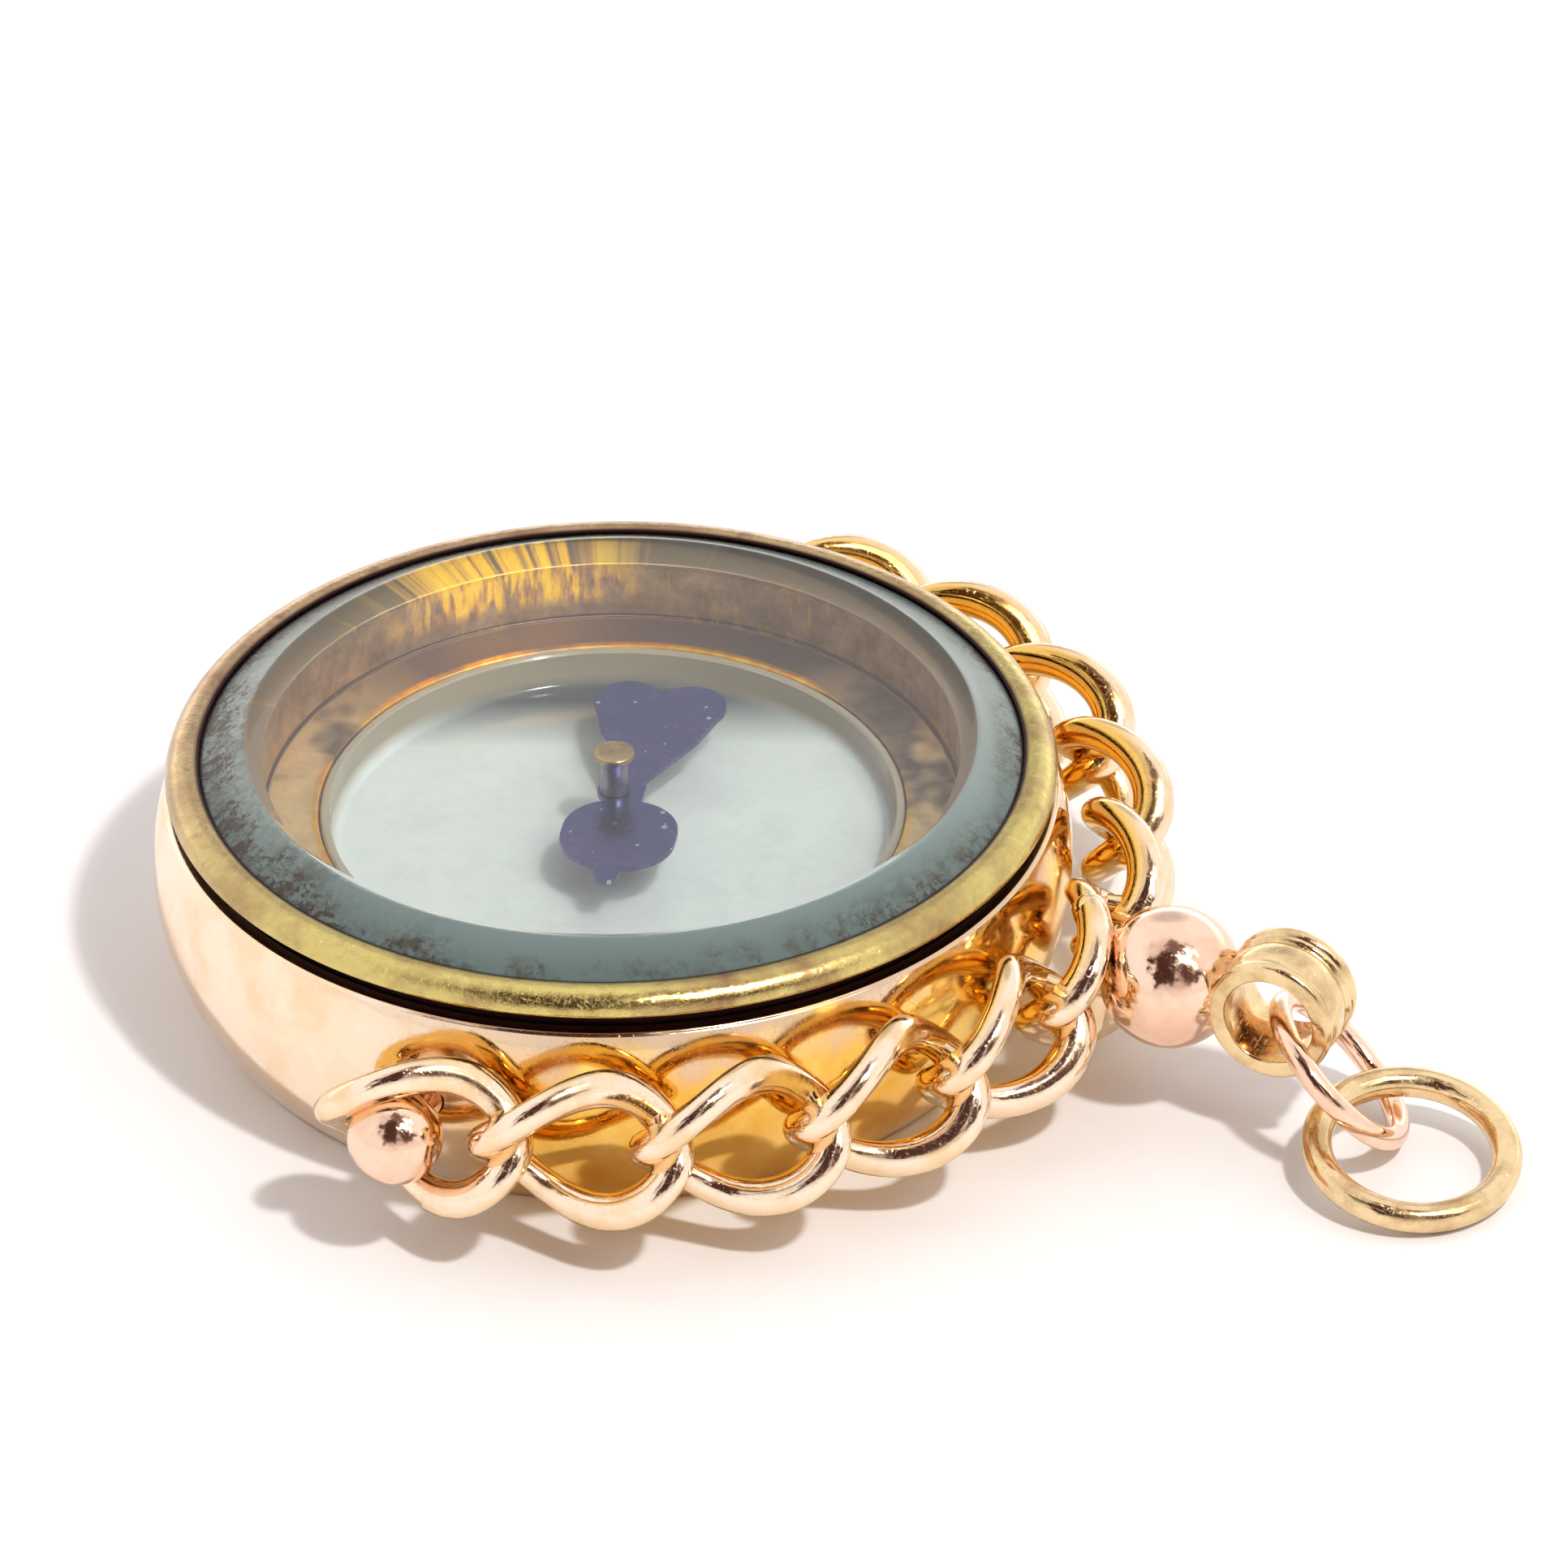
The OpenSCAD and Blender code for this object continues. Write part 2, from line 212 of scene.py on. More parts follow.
def copy_of(obj, name):
    """A copy with its own mesh."""
    pick(obj)
    bpy.ops.object.duplicate(linked=False)
    twin = bpy.context.active_object
    twin.name = name
    twin.data.name = name
    return twin


def join(name, *objects):
    """One piece from several."""
    pick(*objects)
    bpy.ops.object.join()
    obj = bpy.context.active_object
    obj.name = name
    obj.data.name = name
    return obj


def bore(obj, radius, start, end):
    """Drills a round hole between two points."""
    start, end = Vector(start), Vector(end)
    axis = end - start
    clear_selection()
    bpy.ops.mesh.primitive_cylinder_add(
        vertices=48, radius=radius, depth=axis.length, location=(start + end) / 2,
        rotation=axis.to_track_quat("Z", "Y").to_euler())
    drill = bpy.context.active_object
    bpy.ops.object.transform_apply(location=True, rotation=True, scale=True)
    cut = obj.modifiers.new("bore", "BOOLEAN")
    cut.operation = "DIFFERENCE"
    cut.object = drill
    cut.solver = "EXACT"
    pick(obj)
    bpy.ops.object.modifier_apply(modifier=cut.name)
    pick(drill)
    bpy.ops.object.delete()
    return smooth(obj)


def dress(obj, body, slot, *nodes, finish=None):
    """Gives a piece its finish, the one named by slot unless another is given, puts it in its body
    and hides the nodes that it stands for.
    """
    obj.data.materials.clear()
    obj.data.materials.append(finish_of(finish or slot))
    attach(obj, body)
    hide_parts(*nodes)


# Materials

# The photo's right, and away from its camera, as directions on the pendant
RIGHTWARD = (0.917, 0.399, 0)
AWAY = (-0.40, 0.917, 0)
# Near-black painted shade of the bezel's seams
SEAM_SHADE = (0.03, 0.012, 0.012, 1)
GLASS_IOR = 1.46


def add(tree, kind, links=None, **settings):
    """A node with its settings, and its inputs set or linked by name or number."""
    node = tree.nodes.new(kind)
    for key, value in settings.items():
        setattr(node, key, value)
    for key, value in (links or {}).items():
        if isinstance(value, bpy.types.NodeSocket):
            tree.links.new(value, node.inputs[key])
        else:
            node.inputs[key].default_value = value
    return node


def new_group(name, inputs, outputs):
    """An empty shader group with its number inputs, given as name: default, and outputs."""
    group = bpy.data.node_groups.new(name, "ShaderNodeTree")
    for label, default in inputs.items():
        socket = group.interface.new_socket(label, in_out="INPUT", socket_type="NodeSocketFloat")
        socket.default_value = default
    for label in outputs:
        group.interface.new_socket(label, in_out="OUTPUT", socket_type="NodeSocketFloat")
    given, out = group.nodes.new("NodeGroupInput"), group.nodes.new("NodeGroupOutput")
    return group, given.outputs, out.inputs


def millimetres(tree):
    """Object coordinates in millimetres."""
    coord = add(tree, "ShaderNodeTexCoord")
    scaled = add(tree, "ShaderNodeVectorMath", {0: coord.outputs["Object"], "Scale": 1000},
                 operation="SCALE")
    return scaled.outputs["Vector"]


def remap(tree, value, low, high, to_low=0.0, to_high=1.0):
    """A clamped, linear change of range."""
    node = add(tree, "ShaderNodeMapRange", {
        "Value": value, "From Min": low, "From Max": high, "To Min": to_low, "To Max": to_high})
    return node.outputs["Result"]


def maths(tree, operation, a, b=0.0):
    """One Math node."""
    node = add(tree, "ShaderNodeMath", {0: a, 1: b}, operation=operation)
    return node.outputs["Value"]


def product(tree, *values):
    """All the values multiplied."""
    result = values[0]
    for value in values[1:]:
        result = maths(tree, "MULTIPLY", result, value)
    return result


def vector_maths(tree, operation, *values):
    """One Vector Math node: a number for a length or a dot product, else a vector."""
    node = add(tree, "ShaderNodeVectorMath", dict(enumerate(values)), operation=operation)
    return node.outputs["Value" if operation in ("LENGTH", "DOT_PRODUCT") else "Vector"]


def mixed(tree, factor, a, b):
    """A colour between a and b."""
    return add(tree, "ShaderNodeMix", {0: factor, 6: a, 7: b}, data_type="RGBA").outputs[2]


def noise(tree, vector, scale, detail, roughness, output="Fac"):
    """A noise texture's value, or its colour."""
    node = add(tree, "ShaderNodeTexNoise", {
        "Vector": vector, "Scale": scale, "Detail": detail, "Roughness": roughness})
    return node.outputs[output]


def parts_of(tree, vector):
    """The X, Y and Z of a vector."""
    return add(tree, "ShaderNodeSeparateXYZ", {"Vector": vector}).outputs


def level(tree, vector):
    """A vector without its height."""
    return vector_maths(tree, "MULTIPLY", vector, (1, 1, 0))


def new_material(name, colour):
    """A node material with its Principled shader."""
    material = bpy.data.materials.new(name)
    material.use_nodes = True
    material.diffuse_color = (*colour, 1)
    shader = material.node_tree.nodes["Principled BSDF"]
    return material, material.node_tree, shader


def connect(tree, shader, **values):
    """Links values to a shader's inputs, an underscore standing for a space."""
    for label, value in values.items():
        tree.links.new(value, shader.inputs[label.replace("_", " ")])


def relief(tree, shader, height, depth):
    """Bumps of a depth in millimetres."""
    bump = add(tree, "ShaderNodeBump", {"Height": height, "Distance": depth * MM, "Strength": 1.0})
    connect(tree, shader, Normal=bump.outputs["Normal"])


def scratches(tree, place_mm, scale, turn, stretch, texture, low, high):
    """Fine scratches along one direction; texture is the detail and roughness of their noise."""
    mapped = add(tree, "ShaderNodeMapping", {
        "Vector": place_mm, "Rotation": turn, "Scale": stretch}, vector_type="POINT")
    return remap(tree, noise(tree, mapped.outputs["Vector"], scale, *texture), low, high)


def wear_group():
    """Polished metal that has been worn: cloudy tarnish, fine scratches and a little unevenness."""
    group, given, out = new_group("Metal wear", {"Cloud scale": 0.5, "Scratch scale": 5.0},
                                  ("Tarnish", "Roughness", "Height"))
    place_mm = millimetres(group)
    cloud = noise(group, place_mm, given["Cloud scale"], 5.0, 0.62)
    fine = given["Scratch scale"]
    lines = maths(group, "MAXIMUM",
                  scratches(group, place_mm, fine, (0.4, 0.9, 0.3), (0.35, 6.0, 2.2), (4.0, 0.7),
                            0.6, 0.78),
                  scratches(group, place_mm, fine, (1.3, 0.2, 1.1), (5.0, 0.4, 3.0), (3.0, 0.6),
                            0.62, 0.8))
    tarnish = remap(group, cloud, 0.46, 0.72)
    rough = maths(group, "ADD", product(group, tarnish, 0.16), product(group, lines, 0.14))
    uneven = noise(group, place_mm, 1.4, 2.0, 0.5)
    height = maths(group, "SUBTRACT", product(group, uneven, 0.55), product(group, lines, 0.12))
    group.links.new(tarnish, out["Tarnish"])
    group.links.new(rough, out["Roughness"])
    group.links.new(height, out["Height"])
    return group


def speck_group():
    """Dust and grime: separate small specks of several sizes."""
    group, given, out = new_group("Specks", {"Scale": 2.0, "Size": 0.2, "Share": 0.3}, ("Mask",))
    cells = add(group, "ShaderNodeTexVoronoi", {
        "Vector": millimetres(group), "Scale": given["Scale"], "Randomness": 1.0},
        feature="F1").outputs
    chance = add(group, "ShaderNodeSeparateColor", {"Color": cells["Color"]}).outputs
    kept = maths(group, "LESS_THAN", chance["Red"], given["Share"])
    size = product(group, given["Size"], remap(group, chance["Green"], 0.0, 1.0, 0.35, 1.0))
    dot = remap(group, maths(group, "SUBTRACT", size, cells["Distance"]), 0.0, 0.06)
    group.links.new(product(group, dot, kept), out["Mask"])
    return group


def inward_group():
    """Share by which a face of the bow looks in or down, where its gold is deepened by painted
    reflection.
    """
    group, _, out = new_group("Inward faces", {}, ("Mask",))
    coord = add(group, "ShaderNodeTexCoord").outputs
    outward = vector_maths(group, "NORMALIZE", level(group, coord["Object"]))
    facing = vector_maths(group, "DOT_PRODUCT", coord["Normal"], outward)
    downward = remap(group, parts_of(group, coord["Normal"])["Z"], 0.0, -0.8, 0.0, 0.5)
    mask = maths(group, "MAXIMUM", remap(group, facing, 0.25, -0.45), downward)
    group.links.new(mask, out["Mask"])
    return group


MAKERS = {"Metal wear": wear_group, "Specks": speck_group, "Inward faces": inward_group}


def shared(tree, name, inputs=None):
    """The outputs of a shared group, which is made the first time it is asked for."""
    group = bpy.data.node_groups.get(name) or MAKERS[name]()
    return add(tree, "ShaderNodeGroup", inputs, node_tree=group).outputs


def finish_of(name):
    """A finish of the pendant, made the first time it is asked for."""
    label = f"finish_{name}"
    return bpy.data.materials.get(label) or FINISHES[name](label)


def metal(tree, shader, wear, colour, rough, depth):
    """Gives a shader worn metal: its colour, its least roughness and the depth of its bumps."""
    connect(tree, shader, Base_Color=colour, Roughness=maths(tree, "ADD", wear["Roughness"], rough))
    shader.inputs["Metallic"].default_value = 1.0
    relief(tree, shader, wear["Height"], depth)


def polished(name, bright, tarnished, rough, bump=0.02, cloud=0.5, inward_reflection=None):
    """A worn, polished precious metal, with an optional colour of painted reflection for faces that
    look in to the case.
    """
    material, tree, shader = new_material(name, bright)
    wear = shared(tree, "Metal wear", {"Cloud scale": cloud})
    colour = mixed(tree, wear["Tarnish"], (*bright, 1), (*tarnished, 1))
    if inward_reflection:
        colour = mixed(tree, shared(tree, "Inward faces")["Mask"], colour, (*inward_reflection, 1))
    metal(tree, shader, wear, colour, rough, bump)
    return material


def rose_gold(name):
    """Polished pale rose gold of the case, tan toward the bow, with a painted orange-gold
    reflection of the links high up behind it.
    """
    material, tree, shader = new_material(name, (0.97, 0.8, 0.6))
    wear = shared(tree, "Metal wear", {"Cloud scale": 0.4})
    place_mm = millimetres(tree)
    parts = parts_of(tree, place_mm)
    cloud = noise(tree, place_mm, 0.45, 4.0, 0.6)
    shifted = maths(tree, "ADD", parts["Z"], remap(tree, cloud, 0.3, 0.7, -0.8, 0.8))
    top = CASE_HIGH.z / MM
    # Painted reflection: high up on the case behind the bow, the links' reflection is painted in
    # orange-gold, broken up by noise.
    low = product(tree, remap(tree, shifted, top - 0.2, top - 1.3),
                  remap(tree, parts["X"], 0.0, 3.0))
    colour = mixed(tree, wear["Tarnish"], (0.97, 0.785, 0.60, 1), (0.88, 0.62, 0.36, 1))
    colour = mixed(tree, remap(tree, parts["X"], -3.0, 4.0), colour, (0.72, 0.52, 0.36, 1))
    painted_link_reflection = mixed(tree, remap(tree, cloud, 0.35, 0.65), (1.0, 0.68, 0.19, 1),
                  (0.85, 0.44, 0.06, 1))
    metal(tree, shader, wear, mixed(tree, low, colour, painted_link_reflection), 0.07, 0.015)
    return material


def ball_gold(name):
    """Pinker rose gold of the balls and the thin ring."""
    return polished(name, (0.96, 0.69, 0.52), (0.82, 0.50, 0.34), 0.06, bump=0.01)


def yellow_gold(name):
    """Polished gold of the links, deeper in colour where it looks in to the case or down: painted
    reflection.
    """
    return polished(name, (0.95, 0.77, 0.58), (0.86, 0.60, 0.32), 0.08, cloud=0.7,
                    inward_reflection=(0.86, 0.54, 0.14))


def ring_gold(name):
    """Yellower, duller gold of the bail and the larger ring."""
    return polished(name, (0.87, 0.66, 0.37), (0.54, 0.36, 0.17), 0.1, bump=0.03, cloud=0.9)


def green_gold(name):
    """Greenish gold of the bezel, scratched and brown in places, with near-black painted shade
    below the crown and in a thin line at its inner edge against the glass.
    """
    material, tree, shader = new_material(name, (0.8, 0.7, 0.34))
    wear = shared(tree, "Metal wear", {"Cloud scale": 0.32, "Scratch scale": 7.0})
    place_mm = millimetres(tree)
    radius = vector_maths(tree, "LENGTH", level(tree, place_mm))
    worn = vector_maths(tree, "DOT_PRODUCT", place_mm, (-0.8, 0.6, 0))
    tan = remap(tree, worn, -4.0, 8.0)
    gold = mixed(tree, tan, (0.66, 0.54, 0.19, 1), (0.60, 0.42, 0.24, 1))
    mottle = noise(tree, place_mm, 1.7, 6.0, 0.72)
    brown = product(tree, remap(tree, mottle, 0.5, 0.68), remap(tree, tan, 0.0, 1.0, 0.35, 0.85))
    clean = mixed(tree, maths(tree, "MAXIMUM", brown, wear["Tarnish"]), gold,
                  (0.30, 0.17, 0.09, 1))
    rim, outside = CUP_HIGH.z / MM, BEZEL_HIGH.x / MM
    # Painted shade: near-black below the rim of the cup, on the skirt in the seam, and in a thin
    # ring at the inner edge, in the groove at the glass.
    below = remap(tree, parts_of(tree, place_mm)["Z"], rim + 0.03, rim - 0.01)
    inside = remap(tree, radius, outside - 0.74, outside - 0.86)
    dark = maths(tree, "MAXIMUM", below, inside)
    rough = maths(tree, "ADD", wear["Roughness"], 0.1)
    connect(tree, shader, Base_Color=mixed(tree, dark, clean, SEAM_SHADE),
            Roughness=maths(tree, "ADD", rough, product(tree, dark, 0.35)))
    shader.inputs["Metallic"].default_value = 1.0
    relief(tree, shader, maths(tree, "ADD", wear["Height"], product(tree, mottle, 0.5)), 0.05)
    return material


def cap_brass(name):
    """Brass of the needle's cap and post."""
    return polished(name, (0.60, 0.39, 0.18), (0.32, 0.18, 0.08), 0.22, bump=0.01, cloud=2.0)


def stem_painted_shade(name):
    """Brass of the cap's stem, darkened to grey as painted shade: a shaded copy of the cap's brass.
    """
    return polished(name, (0.27, 0.245, 0.29), (0.15, 0.13, 0.16), 0.3, bump=0.01, cloud=2.0)


def blued_steel(name):
    """Blued steel of the needle, with a little dust."""
    material = polished(name, (0.13, 0.12, 0.27), (0.18, 0.13, 0.27), 0.2, bump=0.015, cloud=0.8)
    tree = material.node_tree
    colour = tree.nodes["Principled BSDF"].inputs["Base Color"]
    dust = shared(tree, "Specks", {"Scale": 3.2, "Size": 0.3, "Share": 0.2})["Mask"]
    dusty = mixed(tree, product(tree, dust, 0.7), colour.links[0].from_socket,
                  (0.8, 0.8, 0.78, 1))
    tree.links.new(dusty, colour)
    return material


def tarnished_brass(name):
    """Brown brass of the cup, with golden streaks where the tarnish is thin and a golden band at
    the ledge's edge; a painted highlight high on the wall to one side, the ledge painted lighter
    toward its two sides, and painted shade on the rim and in the corner of wall and ledge.
    """
    material, tree, shader = new_material(name, (0.4, 0.3, 0.22))
    s = settings()
    wall_r, recess_r, rim = s.cup_bore / MM, s.recess_radius / MM, CUP_HIGH.z / MM
    ledge_z = (CUP_HIGH.z - s.ledge_drop) / MM
    streak_r, highlight_turn = 9.0, math.radians(131)
    place_mm = millimetres(tree)
    parts = parts_of(tree, place_mm)
    height = parts["Z"]
    radius = vector_maths(tree, "LENGTH", level(tree, place_mm))
    heading = vector_maths(tree, "NORMALIZE", level(tree, place_mm))

    turn = maths(tree, "ARCTAN2", parts["Y"], parts["X"])
    ring = add(tree, "ShaderNodeCombineXYZ", {
        "X": product(tree, maths(tree, "SINE", turn), streak_r),
        "Y": product(tree, maths(tree, "COSINE", turn), streak_r),
        "Z": product(tree, height, 0.22)})
    streak = noise(tree, ring.outputs["Vector"], 2.6, 6.0, 0.7)
    cloud = noise(tree, place_mm, 0.28, 3.0, 0.5)
    stain = noise(tree, place_mm, 1.1, 5.0, 0.7)

    # Painted highlight: the streaked golden zone high on the wall to one side stands for a lamp's
    # reflection there.
    golden = (math.cos(highlight_turn), math.sin(highlight_turn), 0)
    highlight_zone = remap(tree, vector_maths(tree, "DOT_PRODUCT", heading, golden), 0.90, 0.985)
    on_wall = remap(tree, radius, wall_r - 0.15, wall_r - 0.05)
    high = remap(tree, height, ledge_z + 0.35, ledge_z + 0.8)
    painted_highlight = product(tree, remap(tree, streak, 0.40, 0.54), highlight_zone, on_wall, high)
    thin = product(tree, remap(tree, streak, 0.54, 0.66), remap(tree, cloud, 0.42, 0.6),
                   on_wall, 0.45)
    lip = product(tree, remap(tree, radius, recess_r + 0.27, recess_r + 0.13),
                  remap(tree, height, ledge_z - 0.29, ledge_z - 0.14),
                  remap(tree, cloud, 0.42, 0.58, 0.1, 0.9))
    clean = maths(tree, "MAXIMUM", maths(tree, "MAXIMUM", painted_highlight, thin), lip)

    # Painted light: the ledge is golden toward its two sides along RIGHTWARD and dark brown
    # elsewhere.
    across = maths(tree, "ABSOLUTE", vector_maths(tree, "DOT_PRODUCT", heading, RIGHTWARD))
    lit = maths(tree, "ADD", remap(tree, cloud, 0.42, 0.5, 0.0, 0.75),
                remap(tree, stain, 0.4, 0.65, 0.0, 0.25))
    ledge = mixed(tree, product(tree, remap(tree, across, 0.6, 0.95), lit),
                  (0.17, 0.12, 0.105, 1), (0.85, 0.58, 0.30, 1))
    wall = mixed(tree, remap(tree, stain, 0.35, 0.7), (0.60, 0.40, 0.25, 1),
                 (0.30, 0.19, 0.13, 1))
    brown = mixed(tree, remap(tree, radius, wall_r - 0.07, wall_r - 0.15), wall, ledge)
    # Painted shade: a darker brown band on the rim, under the glass.
    brown = mixed(tree, remap(tree, height, rim - 0.08, rim - 0.05), brown,
                  (0.44, 0.30, 0.20, 1))
    # Painted shade in the corner of wall and ledge.
    corner_shade = product(tree, remap(tree, radius, wall_r - 0.09, wall_r - 0.06),
                     remap(tree, height, ledge_z + 0.12, ledge_z + 0.06))
    brown = mixed(tree, corner_shade, brown, (0.14, 0.09, 0.075, 1))
    gold = mixed(tree, remap(tree, streak, 0.4, 0.62), (0.95, 0.32, 0.02, 1),
                 (1.0, 0.58, 0.04, 1))
    connect(tree, shader, Base_Color=mixed(tree, clean, brown, gold),
            Roughness=remap(tree, clean, 0.0, 1.0, 0.52, 0.26),
            Metallic=remap(tree, painted_highlight, 0.0, 1.0, 1.0, 0.2))
    relief(tree, shader, streak, 0.02)
    return material


def dial_white(name):
    """Glossy off-white dial with a few specks and patchy dust, painted shade greying it toward its
    far side, and brown on its edge from dirt and painted shade.
    """
    material, tree, shader = new_material(name, (0.8, 0.84, 0.82))
    place_mm = millimetres(tree)
    cloud = noise(tree, place_mm, 0.3, 3.0, 0.5)
    dusty = noise(tree, place_mm, 0.9, 6.0, 0.75)
    specks = shared(tree, "Specks", {"Scale": 1.6, "Size": 0.11, "Share": 0.16})["Mask"]
    paint = mixed(tree, cloud, (0.52, 0.505, 0.475, 1), (0.46, 0.45, 0.425, 1))
    # Painted shade: the dial is greyed toward its far side, beside the wall; the noise adds patchy
    # dust.
    far = vector_maths(tree, "DOT_PRODUCT", place_mm, AWAY)
    grey = maths(tree, "MAXIMUM", remap(tree, far, 4.4, 6.7),
                 remap(tree, dusty, 0.45, 0.75, 0.0, 0.16))
    paint = mixed(tree, grey, paint, (0.06, 0.055, 0.058, 1))
    colour = mixed(tree, product(tree, specks, 0.6), paint, (0.38, 0.36, 0.3, 1))
    # The upstanding edge is brown: dirt with painted shade of the recess.
    floor = (DIAL_LOW.z + settings().dial_floor) / MM
    edge = remap(tree, parts_of(tree, place_mm)["Z"], floor + 0.02, floor + 0.35)
    connect(tree, shader, Base_Color=mixed(tree, edge, colour, (0.27, 0.21, 0.145, 1)),
            Roughness=remap(tree, cloud, 0.3, 0.7, 0.07, 0.13))
    relief(tree, shader, cloud, 0.03)
    return material


def glass(name):
    """Clear, faintly blue glass with small specks of dust; lamps shine through it."""
    material, tree, shader = new_material(name, (0.8, 0.9, 0.9))
    specks = shared(tree, "Specks", {"Scale": 1.3, "Size": 0.07, "Share": 0.2})["Mask"]
    connect(tree, shader,
            Base_Color=mixed(tree, specks, (0.86, 0.92, 0.92, 1), (0.55, 0.55, 0.52, 1)),
            Roughness=remap(tree, specks, 0.0, 1.0, 0.0, 0.35))
    shader.inputs["Transmission Weight"].default_value = 1.0
    shader.inputs["IOR"].default_value = GLASS_IOR
    paths = add(tree, "ShaderNodeLightPath")
    clear = add(tree, "ShaderNodeBsdfTransparent", {"Color": (0.82, 0.86, 0.86, 1)})
    either = add(tree, "ShaderNodeMixShader", {
        0: paths.outputs["Is Shadow Ray"], 1: shader.outputs["BSDF"], 2: clear.outputs["BSDF"]})
    tree.links.new(either.outputs["Shader"], tree.nodes["Material Output"].inputs["Surface"])
    return material


def grimed_glass(name):
    """The bevel of the glass, seen over its grimy seat: teal-grey, with dark specks outward and
    painted shade in a near-black line at its edge.
    """
    material, tree, shader = new_material(name, (0.4, 0.46, 0.46))
    flat_r = settings().flat_radius / MM
    place_mm = millimetres(tree)
    radius = vector_maths(tree, "LENGTH", level(tree, place_mm))
    patch = noise(tree, place_mm, 0.55, 5.0, 0.65)
    fine = noise(tree, place_mm, 5.0, 6.0, 0.75)
    coarse = noise(tree, place_mm, 1.8, 4.0, 0.7)
    clear = mixed(tree, remap(tree, radius, flat_r + 0.1, flat_r + 0.9),
                  (0.25, 0.33, 0.32, 1), (0.17, 0.24, 0.22, 1))
    left = vector_maths(tree, "DOT_PRODUCT", place_mm, (-0.95, -0.3, 0))
    side = remap(tree, left, 2.0, 9.0, 0.0, 0.5)
    share = maths(tree, "ADD", remap(tree, patch, 0.44, 0.56), side)
    edge = maths(tree, "ADD", remap(tree, radius, flat_r + 0.25, flat_r + 1.05), side)
    spots = maths(tree, "MAXIMUM", product(tree, remap(tree, coarse, 0.45, 0.6), 0.8),
                  remap(tree, fine, 0.46, 0.56))
    grime = remap(tree, product(tree, spots, share, edge), 0.0, 1.0)
    colour = mixed(tree, grime, clear, (0.055, 0.035, 0.022, 1))
    # Painted shade: near-black at the outer edge of the bevel, in the groove at the bezel.
    rim = remap(tree, radius, flat_r + 1.13, flat_r + 1.21)
    connect(tree, shader, Base_Color=mixed(tree, rim, colour, (0.03, 0.012, 0.015, 1)),
            Roughness=remap(tree, grime, 0.0, 1.0, 0.1, 0.4))
    shader.inputs["Transmission Weight"].default_value = 0.45
    shader.inputs["IOR"].default_value = GLASS_IOR
    relief(tree, shader, fine, 0.01)
    return material


def paper(name):
    """Plain pale floor."""
    material, tree, shader = new_material(name, (0.9, 0.88, 0.88))
    grain = noise(tree, millimetres(tree), 0.6, 4.0, 0.6)
    connect(tree, shader,
            Base_Color=mixed(tree, grain, (0.79, 0.785, 0.795, 1), (0.82, 0.815, 0.82, 1)))
    shader.inputs["Roughness"].default_value = 0.75
    return material


FINISHES = {maker.__name__: maker for maker in (
    rose_gold, ball_gold, yellow_gold, ring_gold, green_gold, cap_brass, stem_painted_shade, blued_steel,
    tarnished_brass, dial_white, glass, grimed_glass, paper)}


# Pieces

def settings():
    """The pendant's settings."""
    return bpy.context.scene.pendant


class PENDANT_OT_case(bpy.types.Operator):
    """The domed case: a flat back, one arc for its side and a thin lip"""

    bl_idname = "pendant.case"
    bl_label = "Case"

    def execute(self, context):
        s = settings()
        case_r = CASE_HIGH.x
        side_x = case_r - s.side_radius
        rise = CASE_HIGH.z - s.belly_height
        lip_r = side_x + math.sqrt(s.side_radius ** 2 - rise ** 2)
        inner = lip_r - s.lip_wall
        top = math.degrees(math.asin(rise / s.side_radius))
        foot = -math.degrees(math.asin(s.belly_height / s.side_radius))
        soft = 0.09 * MM
        outline = [(0, 0), (side_x * 0.6, 0)]
        outline += arc(side_x, s.belly_height, s.side_radius, foot + 0.6, top - 0.9, 56)
        outline += arc(lip_r - soft, CASE_HIGH.z - soft, soft, 20, 90, 5)
        outline += arc(inner + soft, CASE_HIGH.z - soft, soft, 90, 180, 5)
        shelf, back = CUP_LOW.z - SEAT, 0.6 * MM
        outline += [(inner, shelf), (inner - 1.2 * MM, shelf), (inner - 1.9 * MM, back),
                    (0, back)]
        shell = turned("case_shell", outline, s.turn_steps)
        reach = case_r + 1 * MM
        bore(shell, s.pin_radius + FIT, (0, -reach, SWIVEL.z), (0, reach, SWIVEL.z))
        dress(shell, "case", "rose_gold", "case_band")
        return {"FINISHED"}


class PENDANT_OT_cup(bpy.types.Operator):
    """The tarnished cup inside the case: wall, ledge and dial recess"""

    bl_idname = "pendant.cup"
    bl_label = "Cup"

    def execute(self, context):
        s = settings()
        rim = CUP_HIGH.z
        ledge = rim - s.ledge_drop
        floor = CUP_LOW.z + s.cup_floor
        out, bore_r, recess = CUP_HIGH.x, s.cup_bore, s.recess_radius
        outline = [(0, CUP_LOW.z), (out - 0.1 * MM, CUP_LOW.z), (out, CUP_LOW.z + 0.1 * MM)]
        outline += [(out, rim - 0.08 * MM), (out - 0.08 * MM, rim)]
        small, soft = 0.05 * MM, 0.1 * MM
        outline += arc(bore_r + small, rim - small, small, 90, 180, 4)
        outline += arc(bore_r - small, ledge + small, small, 0, -90, 4)
        outline += arc(recess + soft, ledge - soft, soft, 90, 180, 5)
        outline += [(recess, floor), (0, floor)]
        cup = turned("cup_wall", outline, s.turn_steps)
        dress(cup, "case", "tarnished_brass", "compass_cup")
        return {"FINISHED"}


